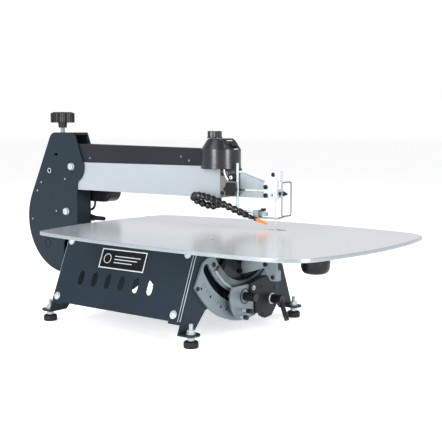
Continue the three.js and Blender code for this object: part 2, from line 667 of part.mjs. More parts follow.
// ---- blade links and holders ----------------------------------------------------------------
const BLOCK_FRONT = -86;
const ROD_AT = [-85, -9]; // hold-down rod
function upperBearingBlock() {
  const cheek = slabXZ(
    [
      [-121.7, 265], [BLOCK_FRONT, 265], [BLOCK_FRONT, 294], [-95, 297], [-102, 304],
      [-104, 314], [-121.7, 314],
    ],
    -18, 18,
  );
  const slotted = cut(
    cheek,
    box(-104, -80, -5, 5, 260, 320),
    barX(-123, -100, 0, UPPER_ROD_Z, ROD_R + 1, 12),
    barZ(...ROD_AT, 260, 320, 3.1, 12),
  );
  return join(slotted, ...UPPER_PINS.map((z) => barY(LINK_PIVOT_X, -17, 17, z, 3, 12)));
}
add("upper_bearing_block", "bearing", upperBearingBlock());

// The blade links: a triangular rocker and a plain link on each arm. `up` is +1 on the upper arm.
const PIN_HOLE = 3.7;
const linkHoles = (z) => [LINK_PIVOT_X, LINK_FRONT_X].map((x) => barY(x, -6, 6, z, PIN_HOLE, 14));
const rocker = (z, up) => cut(
  slabXZ(
    [
      [-98, -6.5], [-98, 6], [-91, 22], [-86, 25.5], [-77, 25], [-16, 6.5], [-10.5, 3],
      [-10.5, -4], [-14, -6.5],
    ].map(([x, h]) => [x, z + up * h]),
    -4, 4,
  ),
  ...linkHoles(z),
);
const link = (z) => cut(
  join(
    box(LINK_PIVOT_X, LINK_FRONT_X, -4, 4, z - 6, z + 6),
    ...[LINK_PIVOT_X, LINK_FRONT_X].map((x) => barY(x, -4, 4, z, 6, 20)),
  ),
  ...linkHoles(z),
);
add("upper_rocker", "zinc", rocker(UPPER_PINS[0], 1));
add("upper_link", "zinc", link(UPPER_PINS[1]));
add("lower_rocker", "zinc", rocker(LOWER_PINS[0], -1));
add("lower_link", "zinc", link(LOWER_PINS[1]));

// The holder hangs on the two front pins and ends in a split jaw that grips the blade.
// Heights are measured from the rocker's pin; `up` is +1 on the upper arm.
function bladeHolder(pins, up) {
  const z = (h) => pins[0] + up * h;
  const jaw = box(-3, 9, -6, 7, z(-21), z(-4));
  const block = box(3, up > 0 ? 13 : 9, -6, 5, z(11), z(31));
  const plate = slabXZ(
    [[-22, z(6)], [-5, z(31)], [9, z(31)], [9, z(-21)], [-21, z(-21)]], -10, -5,
  );
  return join(
    cut(join(plate, jaw, block), box(-4, 10, -0.8, 0.8, z(-22), z(-8))),
    ...pins.map((pin) => barY(LINK_FRONT_X, -12, 5, pin, 3, 12)),
  );
}
add("upper_blade_holder", "zinc", bladeHolder(UPPER_PINS, 1));
add("lower_blade_holder", "zinc", bladeHolder(LOWER_PINS, -1));
add("blade", "blade", box(-1.3, 1.3, -0.4, 0.4, 147, 277));
const clampScrew = (z) => join(
  bar([9.3, -2, z], [17, -2, z], 2.6, 2.6, 10),
  bar([15.6, -2, z], [27, -2, z], 6, 1.6, 14),
);
add("upper_clamp_screw", "black", clampScrew(UPPER_PINS[0] - 12));
add("lower_clamp_screw", "black", clampScrew(LOWER_PINS[0] + 12));

// ---- hold-down ------------------------------------------------------------------------------
add("holddown_rod", "zinc", join(
  barZ(...ROD_AT, 236, 330, 2.7, 12),
  bar([...ROD_AT, 238], [-44, -2, 234.5], 2.7, 2.7, 12),
));
const HOLDDOWN_KNOB = { x: -90, z: 279.5 };
add("holddown_knob", "black", join(
  barY(HOLDDOWN_KNOB.x, -22, -18 - GAP, HOLDDOWN_KNOB.z, 5.5, 12),
  slabXZ(
    lobed(6, 13.2, 1.8, 6, (a, b) => [HOLDDOWN_KNOB.x + a, HOLDDOWN_KNOB.z + b]), -30, -21,
  ),
));
const FOOT_Z = 224;
const THUMB_X = -30;
function presserFoot() {
  const plate = slabXY(
    [[-44, -3.5], [2, -3.5], [4, -1.2], [-14, -1.2], [-14, 1.2], [4, 1.2], [4, 7], [1, 9], [-44, 9]],
    FOOT_Z, FOOT_Z + 2.6,
  );
  return join(
    plate,
    barZ(THUMB_X, 1, 235, 239, 2.4, 10),
    barZ(THUMB_X, 1, 238.5, 243.5, 4.4, 12),
    cut(box(-49, -37, -7, 6, FOOT_Z + 2, 240), bar([-60, -4.8, 235.9], [-44, -2, 234.5], 3, 3, 12)),
    box(-38, -22, -4, 6, 229.5, 236),
  );
}
add("presser_foot", "zinc", cut(
  presserFoot(),
  bar([...ROD_AT, 238], [-43, -1.8, 234.4], 3.1, 3.1, 12),
));
const GUARD = { x: 24, half: 15.5, low: 232, high: 296, r: 1.35 };
function bladeGuard() {
  const { x, half, low, high, r } = GUARD;
  const ends = [[-half, low], [half, low], [half, high], [-half, high]];
  const sides = ends.map(([y, z], i) => {
    const [y2, z2] = ends[(i + 1) % 4];
    return bar([x, y, z], [x, y2, z2], r, r, 6);
  });
  const corners = ends.map(([y, z]) => new THREE.SphereGeometry(r * 1.02, 6, 4).translate(x, y, z));
  return join(...sides, ...corners, bar([4.6, 6, 226.6], [x, 6, low], r, r, 6));
}
add("blade_guard", "zinc", bladeGuard());

// ---- air hose -------------------------------------------------------------------------------
const HOSE_ROOT = [-137, -2];
add("hose_fitting", "black", barZ(...HOSE_ROOT, 251, 260.6, 6, 6));
const HOSE_PATH = [
  [-137, -2, 250.2], [-137.2, -2, 247.5], [-144, -2, 243], [-155, -3, 242.5], [-168, -6, 245],
  [-178, -13, 250], [-183, -22, 257], [-179, -30, 262.5], [-168, -34, 265], [-154, -35.5, 264.5],
  [-138, -36, 262], [-124, -35, 258.5], [-114, -34, 255], [-104, -31, 250], [-93, -27, 245.5],
  [-83, -22, 240.5], [-72, -18, 235.5], [-59, -16, 230.5], [-48, -15, 227], [-43, -13.5, 225.3],
];
add("air_hose", "hose", tube(HOSE_PATH, 3.4, 34, 8));
const NOZZLE = { from: [-42, -13.1, 224.9], to: [-15, -6.8, 214.8] };
add("air_nozzle", "nozzle", join(
  bar(NOZZLE.from, [-34, -11, 221.7], 3.9, 4.2, 12),
  bar([-34, -11, 221.7], NOZZLE.to, 3.6, 1.5, 12),
));

export default saw;
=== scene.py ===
"""Scroll saw: looks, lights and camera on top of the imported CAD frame. Metres, row frame."""
import json
import math

import bmesh
import bpy
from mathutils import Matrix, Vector


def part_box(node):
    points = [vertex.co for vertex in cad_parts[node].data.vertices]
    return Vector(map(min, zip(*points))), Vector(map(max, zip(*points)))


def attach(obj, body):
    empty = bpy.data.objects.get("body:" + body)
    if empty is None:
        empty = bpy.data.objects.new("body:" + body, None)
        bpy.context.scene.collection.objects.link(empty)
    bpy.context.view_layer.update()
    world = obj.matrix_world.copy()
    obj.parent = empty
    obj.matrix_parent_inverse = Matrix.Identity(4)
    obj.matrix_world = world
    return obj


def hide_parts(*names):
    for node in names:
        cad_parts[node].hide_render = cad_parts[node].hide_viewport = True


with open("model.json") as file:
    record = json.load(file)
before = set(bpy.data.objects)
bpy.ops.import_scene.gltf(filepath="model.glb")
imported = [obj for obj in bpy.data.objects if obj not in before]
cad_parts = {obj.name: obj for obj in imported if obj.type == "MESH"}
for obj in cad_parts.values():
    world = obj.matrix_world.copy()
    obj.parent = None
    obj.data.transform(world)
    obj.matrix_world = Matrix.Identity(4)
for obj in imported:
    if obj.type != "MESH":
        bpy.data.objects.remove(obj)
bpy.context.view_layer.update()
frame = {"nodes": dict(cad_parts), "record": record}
NODES = frame["nodes"]
MM = 0.001

# Positions below are in millimetres from the blade (x, y) and the floor (z).
_blade_low, _blade_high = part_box("blade")
BLADE_X = (_blade_low.x + _blade_high.x) / 2
BLADE_Y = (_blade_low.y + _blade_high.y) / 2
TABLE_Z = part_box("table")[1].z / MM  # also the height of the tilt axis


def at(x, y, z):
    """A point given in millimetres from the blade, in the row frame."""
    return Vector((BLADE_X + x * MM, BLADE_Y + y * MM, z * MM))


# ---- materials ----------------------------------------------------------------------------
def srgb(r, g, b):
    def linear(v):
        v /= 255
        return v / 12.92 if v <= 0.04045 else ((v + 0.055) / 1.055) ** 2.4
    return (linear(r), linear(g), linear(b), 1.0)


class Nodes:
    """A small builder for one node material."""

    def __init__(self, name):
        self.material = bpy.data.materials.new(name)
        self.material.use_nodes = True
        self.tree = self.material.node_tree
        self.shader = self.tree.nodes["Principled BSDF"]

    def new(self, kind, **inputs):
        node = self.tree.nodes.new(kind)
        for key, value in inputs.items():
            node.inputs[key.replace("_", " ")].default_value = value
        return node

    def link(self, a, b):
        self.tree.links.new(a, b)

    def position(self, stretch=(1, 1, 1)):
        coords = self.tree.nodes.new("ShaderNodeTexCoord")
        mapping = self.tree.nodes.new("ShaderNodeMapping")
        mapping.inputs["Scale"].default_value = stretch
        self.link(coords.outputs["Object"], mapping.inputs["Vector"])
        return mapping.outputs["Vector"]

    def noise(self, where, scale):
        node = self.new("ShaderNodeTexNoise", Scale=scale, Detail=2.0)
        self.link(where, node.inputs["Vector"])
        return node.outputs["Fac"]

    def spread(self, value, low, high):
        """Maps noise, which lies around 0.5, onto low..high."""
        node = self.new("ShaderNodeMapRange")
        for key, v in (("From Min", 0.3), ("From Max", 0.7), ("To Min", low), ("To Max", high)):
            node.inputs[key].default_value = v
        self.link(value, node.inputs["Value"])
        return node.outputs["Result"]

    def mix(self, factor, a, b):
        node = self.tree.nodes.new("ShaderNodeMix")
        node.data_type = "RGBA"
        self.link(factor, node.inputs["Factor"])
        node.inputs["A"].default_value = a
        node.inputs["B"].default_value = b
        return node.outputs["Result"]

    def bump(self, height, strength, distance):
        node = self.new("ShaderNodeBump", Strength=strength, Distance=distance)
        self.link(height, node.inputs["Height"])
        self.link(node.outputs["Normal"], self.shader.inputs["Normal"])


def shade(colour, by):
    return tuple(min(1.0, c * by) for c in colour[:3]) + (1.0,)


def make(name, colour, rough, *, vary, grain, metal=0.0, blotch=35.0, bump=0.1,
         depth=0.0002, stretch=(1, 1, 1), rough_vary=0.06, specular=0.5):
    """Colour drifts slowly over the surface; a fine grain drives the roughness and the bump."""
    n = Nodes(name)
    flat = n.position()
    fine = n.position(stretch)
    n.link(
        n.mix(n.spread(n.noise(flat, blotch), 0, 1), shade(colour, 1 - vary),
              shade(colour, 1 + vary)),
        n.shader.inputs["Base Color"],
    )
    grain_noise = n.noise(fine, grain)
    n.link(n.spread(grain_noise, rough - rough_vary, rough + rough_vary),
           n.shader.inputs["Roughness"])
    n.bump(grain_noise, bump, depth)
    n.shader.inputs["Metallic"].default_value = metal
    n.shader.inputs["Specular IOR Level"].default_value = specular
    return n.material


MAT = {
    "coat": make("powder_coat", (0.0095, 0.0185, 0.0265, 1), 0.44, vary=0.06, blotch=14,
                 grain=1400, bump=0.12, depth=0.0001, specular=0.18),
    # painted highlight: a light copy of the coat for the rolled panel edges
    "edge_highlight": make("painted_edge_highlight", srgb(146, 156, 162), 0.3, vary=0.08, blotch=30,
                      grain=1400, bump=0.05, depth=0.00005),
    "table": make("satin_aluminium", (0.705, 0.745, 0.77, 1), 0.22, metal=0.7, vary=0.012,
                  blotch=5, grain=220, bump=0.02, depth=0.00003, stretch=(0.12, 3, 3),
                  rough_vary=0.02),
    # painted shade: a darker aluminium for the table's upright rim
    "table_rim_shade": make("shaded_rim_aluminium", srgb(140, 148, 153), 0.3, metal=0.55, vary=0.05,
                       grain=500, bump=0.1, depth=0.0001, stretch=(1, 1, 6)),
    "arm": make("silver_lacquer", srgb(151, 158, 164), 0.5, metal=0.1, vary=0.02, blotch=9,
                grain=2200, bump=0.05, depth=0.00005),
    "channel": make("dark_lacquer", (0.012, 0.014, 0.018, 1), 0.42, vary=0.06, blotch=12,
                    grain=1300, bump=0.12, depth=0.0001, specular=0.18),
    "black": make("satin_black", (0.006, 0.0075, 0.009, 1), 0.3, vary=0.1, blotch=40, grain=1600,
                  bump=0.06, depth=0.00006, specular=0.26),
    "shell": make("moulded_black", (0.004, 0.0075, 0.0095, 1), 0.27, vary=0.08, blotch=30,
                  grain=1800, bump=0.02, depth=0.00003, rough_vary=0.02, specular=0.52),
    "zinc": make("zinc_plate", srgb(176, 185, 188), 0.46, metal=0.5, vary=0.06, blotch=60,
                 grain=900, bump=0.02, depth=0.00003),
    "dull_zinc": make("rolled_zinc", srgb(148, 160, 165), 0.44, metal=0.5, vary=0.1, blotch=45,
                      grain=500, bump=0.08, depth=0.00008, stretch=(0.2, 1, 2)),
    "wire": make("zinc_wire", srgb(118, 127, 131), 0.3, metal=0.7, vary=0.08, blotch=90,
                 grain=900, bump=0.04, depth=0.00004),
    "bright": make("bright_trim", srgb(206, 213, 216), 0.3, metal=0.3, vary=0.05, blotch=50,
                   grain=900, bump=0.04, depth=0.00005),
    "plate": make("clean_plate", srgb(190, 196, 199), 0.5, metal=0.25, vary=0.05, blotch=50,
                  grain=900, bump=0.05, depth=0.00005),
    "gear": make("dark_gear_steel", srgb(84, 96, 98), 0.36, metal=0.6, vary=0.1, blotch=60,
                 grain=900, bump=0.08, depth=0.00008),
    "trunnion": make("cast_aluminium", srgb(119, 131, 137), 0.42, metal=0.5, vary=0.06,
                     blotch=30, grain=1100, bump=0.12, depth=0.0001),
    "casting": make("painted_casting", (0.006, 0.007, 0.009, 1), 0.45, vary=0.15, blotch=50,
                    grain=420, bump=0.3, depth=0.0004, specular=0.22),
    "bearing": make("warm_casting", srgb(112, 109, 107), 0.42, metal=0.35, vary=0.08, blotch=60,
                    grain=700, bump=0.15, depth=0.00015),
    "hose": make("hose_plastic", (0.003, 0.0035, 0.004, 1), 0.2, vary=0.1, blotch=80, grain=900,
                 bump=0.03, depth=0.00004, specular=0.42),
    "nozzle": make("orange_plastic", (0.95, 0.17, 0.012, 1), 0.36, vary=0.04, blotch=90,
                   grain=900, bump=0.05, depth=0.00006, specular=0.35),
    "badge": make("black_enamel", (0.003, 0.003, 0.004, 1), 0.3, vary=0.1, blotch=30, grain=900,
                  bump=0.03, depth=0.00004, specular=0.15),
    "rubber": make("rubber", (0.008, 0.008, 0.009, 1), 0.6, vary=0.15, blotch=60, grain=700,
                   bump=0.25, depth=0.0002, specular=0.25),
    "blade": make("blade_steel", srgb(186, 190, 192), 0.4, metal=0.4, vary=0.1, blotch=120,
                  grain=900, bump=0.05, depth=0.00004, stretch=(1, 1, 0.1)),
    "dark": make("shadowed_socket", (0.004, 0.004, 0.005, 1), 0.6, vary=0.1, grain=900,
                 specular=0.1),
    "print": make("white_print", srgb(214, 218, 220), 0.5, vary=0.03, grain=1500),
}


# ---- mesh tools ---------------------------------------------------------------------------
HEX_CHAMFER = 0.8
SHARP_FROM = math.radians(35)


class Piece:
    """Collects solids in one mesh; each solid takes the material named when it is added."""

    def __init__(self, name, material):
        self.name = name
        self.mesh = bmesh.new()
        self.slots = [material]
        self.slot = 0

    def use(self, material):
        if material not in self.slots:
            self.slots.append(material)
        self.slot = self.slots.index(material)

    def _take(self, verts, faces):
        made = [self.mesh.verts.new(v) for v in verts]
        for f in faces:
            try:
                face = self.mesh.faces.new([made[i] for i in f])
            except ValueError:
                continue
            face.material_index = self.slot
            face.smooth = True

    def lathe(self, origin, axis, profile, sides, reach=None):
        """Turns [radius, height] points about the axis; radii of 0 close the ends.
        reach(angle, radius, height) may return another radius."""
        axis = Vector(axis).normalized()
        side = axis.orthogonal().normalized()
        third = axis.cross(side)
        verts, rings = [], []
        for r, h in profile:
            if r <= 1e-9:
                rings.append([len(verts)])
                verts.append(origin + axis * h * MM)
                continue
            ring = []
            for i in range(sides):
                a = 2 * math.pi * i / sides
                rr = reach(a, r, h) if reach else r
                ring.append(len(verts))
                verts.append(origin + (side * math.cos(a) + third * math.sin(a)) * rr * MM
                             + axis * h * MM)
            rings.append(ring)
        faces = []
        for a, b in zip(rings, rings[1:]):
            for i in range(sides):
                j = (i + 1) % sides
                if len(a) == 1 and len(b) > 1:
                    faces.append((a[0], b[i], b[j]))
                elif len(b) == 1 and len(a) > 1:
                    faces.append((a[i], a[j], b[0]))
                elif len(a) > 1 and len(b) > 1:
                    faces.append((a[i], a[j], b[j], b[i]))
        self._take(verts, faces)

    def prism(self, points, direction, depth):
        """A flat outline of row-frame points pushed along a direction, in millimetres."""
        push = Vector(direction).normalized() * depth * MM
        count = len(points)
        verts = list(points) + [p + push for p in points]
        faces = [tuple(range(count)), tuple(range(2 * count - 1, count - 1, -1))]
        faces += [(i, (i + 1) % count, (i + 1) % count + count, i + count) for i in range(count)]
        self._take(verts, faces)

    def block(self, low, high):
        """A box between two corners given in millimetres from the blade."""
        a, b = at(*low), at(*high)
        verts = [Vector((x, y, z)) for x in (a.x, b.x) for y in (a.y, b.y) for z in (a.z, b.z)]
        faces = [(0, 1, 3, 2), (4, 6, 7, 5), (0, 4, 5, 1), (2, 3, 7, 6), (0, 2, 6, 4), (1, 5, 7, 3)]
        self._take(verts, faces)

    def hexagon(self, origin, axis, across, height):
        r = across / 2 / math.cos(math.pi / 6)
        rim, crown = height - HEX_CHAMFER, r - HEX_CHAMFER
        self.lathe(origin, axis, [(0, 0), (r, 0), (r, rim), (crown, height), (0, height)], 6)

    def socket_screw(self, origin, axis, radius, height):
        """A button head with a dark hexagon socket, drawn as a flat hexagon in painted shade."""
        slot = self.slot
        self.lathe(origin, axis, [
            (0, 0), (radius, 0), (radius, height * 0.35), (radius * 0.8, height * 0.8),
            (radius * 0.5, height), (0, height),
        ], 20)
        self.use("dark")
        a = Vector(axis).normalized()
        self.lathe(origin + a * (height * MM), axis,
                   [(0, 0), (radius * 0.42, 0), (radius * 0.38, 0.12), (0, 0.12)], 6)
        self.slot = slot

    def tube(self, path, radius, sides, closed=False):
        """A round bar along points; radius is a number or a function of the share of length."""
        count = len(path)
        verts, faces = [], []
        normal = None
        for i, p in enumerate(path):
            ahead = path[(i + 1) % count] if closed or i < count - 1 else p
            behind = path[i - 1] if closed or i else p
            tangent = (ahead - behind).normalized()
            if normal is None:
                normal = tangent.orthogonal().normalized()
            normal = (normal - tangent * normal.dot(tangent)).normalized()
            other = tangent.cross(normal)
            r = radius(i / (count - 1)) if callable(radius) else radius
            for k in range(sides):
                a = 2 * math.pi * k / sides
                verts.append(p + (normal * math.cos(a) + other * math.sin(a)) * r * MM)
        steps = count if closed else count - 1
        for i in range(steps):
            for k in range(sides):
                a, b = i * sides + k, i * sides + (k + 1) % sides
                c, d = (b + sides) % (count * sides), (a + sides) % (count * sides)
                faces.append((a, b, c, d))
        if not closed:
            faces.append(tuple(range(sides - 1, -1, -1)))
            faces.append(tuple(range((count - 1) * sides, count * sides)))
        self._take(verts, faces)

    def finish(self, body, slot, replaces=(), bevel=0.3):
        bmesh.ops.recalc_face_normals(self.mesh, faces=self.mesh.faces)
        data = bpy.data.meshes.new(self.name)
        self.mesh.to_mesh(data)
        self.mesh.free()
        for name in self.slots:
            data.materials.append(MAT[name])
        obj = bpy.data.objects.new(self.name, data)
        bpy.context.scene.collection.objects.link(obj)
        if bevel:
            soften(obj, bevel)
        data.set_sharp_from_angle(angle=SHARP_FROM)
        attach(obj, body)
        if replaces:
            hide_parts(*replaces)


ROUND_SEGMENTS = 2
HARD_EDGE = math.radians(38)  # edges sharper than this are rounded


def soften(obj, width):
    """A small round on every hard edge."""
    bevel = obj.modifiers.new("soft_edges", "BEVEL")
    bevel.width = width * MM
    bevel.segments = ROUND_SEGMENTS
    bevel.limit_method = "ANGLE"
    bevel.angle_limit = HARD_EDGE
    bevel.use_clamp_overlap = True
    weighted = obj.modifiers.new("even_shading", "WEIGHTED_NORMAL")
    weighted.keep_sharp = True


def spline(points, count):
    """Catmull-Rom points, evenly spaced along the curve."""
    ends = [points[0] * 2 - points[1]] + list(points) + [points[-1] * 2 - points[-2]]
    dense = []
    for i in range(1, len(ends) - 2):
        p0, p1, p2, p3 = ends[i - 1:i + 3]
        for s in range(24):
            t = s / 24
            dense.append(0.5 * (
                2 * p1 + (p2 - p0) * t + (2 * p0 - 5 * p1 + 4 * p2 - p3) * t ** 2
                + (3 * p1 - p0 - 3 * p2 + p3) * t ** 3
            ))
    dense.append(points[-1].copy())
    lengths = [0.0]
    for a, b in zip(dense, dense[1:]):
        lengths.append(lengths[-1] + (b - a).length)
    out, k = [], 0
    for i in range(count):
        want = lengths[-1] * i / (count - 1)
        while k < len(lengths) - 2 and lengths[k + 1] < want:
            k += 1
        span = lengths[k + 1] - lengths[k]
        out.append(dense[k].lerp(dense[k + 1], (want - lengths[k]) / span if span else 0))
    return out, lengths[-1] / MM


def thread(start, end, pitch, root, crest):
    """Profile of a threaded length, and the height at which its last turn ends."""
    points = []
    h = start
    while h < end:
        points += [(root, h), (crest, h + pitch / 2), (root, h + pitch)]
        h += pitch
    return points, h


def middle_of(node):
    """Centre of a node's box in x and y, in millimetres from the blade."""
    low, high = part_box(node)
    return ((low.x + high.x) / 2 - BLADE_X) / MM, ((low.y + high.y) / 2 - BLADE_Y) / MM


# ---- CAD nodes that stay: finish and soft edges ---------------------------------------------
SLOT_MATERIAL = {entry["node"]: entry["material_slot"] for entry in frame["record"]["subparts"]}
EDGE_WIDTH = {
    "table": 0.8, "left_frame_plate": 0.5, "right_frame_plate": 0.5, "upper_arm": 1.4,
    "arm_cover": 1.6, "switch_housing": 0.9, "lower_arm": 1.2, "tilt_casting": 2.4,
    "lower_head_casting": 1.0, "rear_head_casting": 1.0, "blower_housing": 1.5,
    "control_box": 2.2, "tension_knob": 1.3, "speed_knob": 0.6, "holddown_knob": 1.2,
    "tilt_lock_lever": 1.2, "front_bracket": 0.6, "rear_bracket": 0.6, "tilt_gear": 0.15,
    "pinion_cover": 0.8, "upper_bearing_block": 0.8, "drive_motor": 1.2,
}
OTHER_FINISH = {
    "switch_housing": "shell", "speed_knob": "shell",
    "upper_rocker": "dull_zinc", "upper_link": "dull_zinc", "lower_rocker": "dull_zinc",
    "lower_link": "dull_zinc", "lower_blade_holder": "trunnion", "tilt_gear": "gear",
    "presser_foot": "dull_zinc", "upper_blade_holder": "plate",
}
USUAL_EDGE = 0.35
WELD_WITHIN = 2e-5  # metres
FLAT_WITHIN = math.radians(1.5)


def dress(name, node):
    finish = OTHER_FINISH.get(name, SLOT_MATERIAL[name])
    node.data.materials.clear()
    node.data.materials.append(MAT[finish])
    imported = node.data.attributes.get("custom_normal")
    if imported:
        node.data.attributes.remove(imported)
    for polygon in node.data.polygons:
        polygon.use_smooth = True
        polygon.material_index = 0
    weld = node.modifiers.new("weld", "WELD")
    weld.merge_threshold = WELD_WITHIN
    planes = node.modifiers.new("planes", "DECIMATE")
    planes.decimate_type = "DISSOLVE"
    planes.angle_limit = FLAT_WITHIN
    soften(node, EDGE_WIDTH.get(name, USUAL_EDGE))


for node_name, node_object in NODES.items():
    dress(node_name, node_object)
# The table's rim is sawn and its face ground; the rim's darker colour is painted shade on the
# upright faces.
table_mesh = NODES["table"].data
table_mesh.materials.append(MAT["table_rim_shade"])
for polygon in table_mesh.polygons:
    if abs(polygon.normal.z) < 0.5:
        polygon.material_index = 1

# The gear's tooth flanks are brighter than its faces.
GEAR_ROOT = 119.5  # millimetres from the tilt axis
gear_mesh = NODES["tilt_gear"].data
gear_mesh.materials.append(MAT["bright"])
for polygon in gear_mesh.polygons:
    middle = polygon.center
    reach = math.hypot(middle.y - BLADE_Y, middle.z - TABLE_Z * MM) / MM
    if abs(polygon.normal.x) < 0.5 and reach > GEAR_ROOT:
        polygon.material_index = 1

# ---- base ---------------------------------------------------------------------------------
BASE_Y = -10.0
PANEL_LEAN = 0.4
BRACKET_TOP = TABLE_Z - 6.8


def on_panel(side, x, z, out=0.0):
    """A point on the outer face of a leaning side panel; side is -1 near, +1 far."""
    half = 117 + (BRACKET_TOP - z) * PANEL_LEAN + 2.9 + out
    return at(x, BASE_Y + side * half, z)


def panel_normal(side):
    return Vector((0, side, PANEL_LEAN)).normalized()


def base_bolts():
    piece = Piece("base_bolts", "zinc")
    for side in (-1, 1):
        n = panel_normal(side)
        for x, z in ((-414, 165), (-414, 56), (-99, 164), (-99, 57)):
            spot = on_panel(side, x, z)
            piece.lathe(spot, n, [(0, 0), (8, 0), (8, 1.0), (7.2, 1.4), (0, 1.4)], 28)
            piece.lathe(spot + n * 1.4 * MM, n, [
                (0, 0), (6.4, 0), (6.2, 1.4), (4.6, 2.8), (2.9, 3.1), (2.6, 2.0), (0, 2.0),
            ], 24)
    piece.finish("base", "zinc", bevel=0.2)


def badge_border():
    """A bright raised rim round the black plate, and a plain emblem with three bars."""
    piece = Piece("badge_border", "bright")
    low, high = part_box("badge_plate")
    x0, x1 = ((low.x - BLADE_X) / MM, (high.x - BLADE_X) / MM)
    z0, z1 = low.z / MM + 0.4, high.z / MM - 0.4
    n = panel_normal(-1)
    wide = 2.0

    def bar(xa, xb, za, zb, out=1.5, thick=0.5):
        corners = [on_panel(-1, x, z, out) for x, z in ((xa, za), (xb, za), (xb, zb), (xa, zb))]
        piece.prism(corners, n, thick)

    bar(x0, x1, z0, z0 + wide)
    bar(x0, x1, z1 - wide, z1)
    bar(x0, x0 + wide, z0 + wide, z1 - wide)
    bar(x1 - wide, x1, z0 + wide, z1 - wide)
    middle = (z0 + z1) / 2
    piece.lathe(on_panel(-1, x0 + 19, middle, 1.4), n, [
        (8.6, 0), (8.6, 0.5), (10, 0.5), (10, 0),
    ], 32)
    for za, xb in ((middle + 5, x1 - 14), (middle - 1, x1 - 22), (middle - 7, x1 - 34)):
        bar(x0 + 38, xb, za, za + 1.6, 1.4, 0.3)
    piece.finish("base", "zinc", bevel=0.15)


def panel_folds():
    """Thin rods on the rolled edges where the side panels meet the front and rear flanges, in a
    light copy of the coat: painted highlights along the folds.
    """
    piece = Piece("panel_edge_trims", "edge_highlight")
    for side in (-1, 1):
        for x, out, r in ((-425.6, -0.9, 0.7), (-85.2, -0.6, 1.0), (-81.0, -1.9, 0.9)):
            path = [on_panel(side, x, z, out) for z in (46, 70, 100, 130, 160, 187)]
            piece.tube(path, r, 10)
    piece.finish("base", "coat", bevel=0)


FEET = {
    "front_left": (-62, -180), "front_right": (-62, 160),
    "rear_left": (-444, -180), "rear_right": (-444, 160),
}
TAB_TOP = 25.0


def levelling_foot(place, x, y):
    """Moulded pad, threaded stud, washers and two nuts, one under and one over the tab."""
    foot = Piece(f"foot_{place}", "rubber")
    up = (0, 0, 1)

    def grip(angle, r, h):
        return r - 0.35 * (1 + math.cos(angle * 24)) / 2 if 2 < h < 10 and r > 13 else r

    foot.lathe(at(x, y, 0), up, [
        (0, 0), (12.6, 0), (13.5, 0.8), (13.9, 2.5), (13.9, 9.5), (13.2, 11.2), (11.5, 12.4),
        (7.4, 12.6), (0, 12.6),
    ], 72, grip)
    foot.use("zinc")
    turns, _ = thread(12.4, 43, 1.0, 3.6, 4.0)
    foot.lathe(at(x, y, 0), up, [(0, 12)] + turns + [(3.0, 44), (0, 44)], 16)
    foot.hexagon(at(x, y, 13.4), up, 12.6, 5.2)
    foot.lathe(at(x, y, 19.4), up, [(0, 0), (8.6, 0), (8.6, 1.4), (0, 1.4)], 28)
    foot.lathe(at(x, y, TAB_TOP + 0.1), up, [(0, 0), (8.6, 0), (8.6, 1.4), (0, 1.4)], 28)
    foot.hexagon(at(x, y, TAB_TOP + 1.6), up, 13, 6.4)
    foot.finish("base", "rubber", [f"levelling_foot_{place}"], bevel=0.15)


def tilt_point(radius, degrees):
    """y and z of a point about the tilt axis, angle from straight down towards +Y."""
    a = math.radians(degrees)
    return radius * math.sin(a), TABLE_Z - radius * math.cos(a)


def scale_marks():
    """Engraved degree marks along the outer side of the arc slot, and the plate's dowels."""
    piece = Piece("scale_marks", "dark")
    face = -73.0  # the plate's front
    pointer = -17.5  # degrees from straight down at no tilt
    for step in range(-36, 28, 3):
        longer = step % 15 == 0
        r0, r1 = 158, 168 if longer else 163.5
        a = pointer + step
        half = 0.16 if longer else 0.11
        corners = [at(face - 0.05, *tilt_point(r, a + d))
                   for r, d in ((r0, -half), (r1, -half), (r1, half), (r0, half))]
        piece.prism(corners, (1, 0, 0), 0.14)
    for y, z in ((-136, 101), (-109, 82), (-78, 58), (-60, 50)):
        piece.lathe(at(face - 0.05, y, z), (1, 0, 0),
                    [(0, 0), (2.6, 0), (2.3, 0.16), (0, 0.16)], 20)
    piece.finish("base", "trunnion", bevel=0)


def trunnion_screws():
    piece = Piece("trunnion_screws", "black")
    for y, z, x in ((-100, 142, -72), (69, 120, -66.7), (-147, 102, -73), (96, 119, -73)):
        piece.socket_screw(at(x, y, z), (1, 0, 0), 4.6, 2.4)
    piece.finish("base", "trunnion", bevel=0.15)


def blower_details():
    """The lid seam and a ring of discs under the black can."""
    x, y = middle_of("blower_housing")
    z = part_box("blower_housing")[0].z / MM
    piece = Piece("blower_bands", "black")
    up = (0, 0, 1)
    piece.lathe(at(x, y, z), up, [
        (29.4, 30.2), (29.75, 30.6), (29.75, 33.4), (29.4, 33.8),
    ], 64)
    for i in range(7):
        a = 2 * math.pi * i / 7
        piece.lathe(at(x + 12 * math.cos(a), y + 12 * math.sin(a), z - 0.12), up,
                    [(0, 0.2), (2.4, 0.2), (2.2, 0.0), (0, 0.0)], 14)
    piece.finish("base", "black", bevel=0)


def table_marks():
    """A slotted screw near the table's near edge and a small dimple behind the blade slot."""
    piece = Piece("table_marks", "dull_zinc")
    piece.lathe(at(1, -197, TABLE_Z), (0, 0, 1), [(0, 0.12), (3.4, 0.12), (3.7, 0.0)], 24)
    # painted shade: dark flat marks stand for the screw's slot and the dimple
    piece.use("dark")
    piece.block((-1.6, -197.5, TABLE_Z + 0.1), (3.6, -196.5, TABLE_Z + 0.2))
    piece.lathe(at(-20, -8, TABLE_Z), (0, 0, 1), [(0, 0.1), (2.0, 0.1), (2.2, 0.0)], 20)
    piece.finish("base", "table", bevel=0)


# ---- head ---------------------------------------------------------------------------------
PLATE_Y = 21.5  # outer faces of the frame plates
SHAFT_Y, SHAFT_Z = -22.0, 72.07  # the tilt drive's shaft
LEVER_Y, LEVER_Z = 63.0, 55.5  # the lock lever's pivot


CAP_SCREW = [(0, 0), (5.4, 0), (5.4, 3.2), (4.6, 4), (2.6, 4), (2.4, 2), (0, 2)]


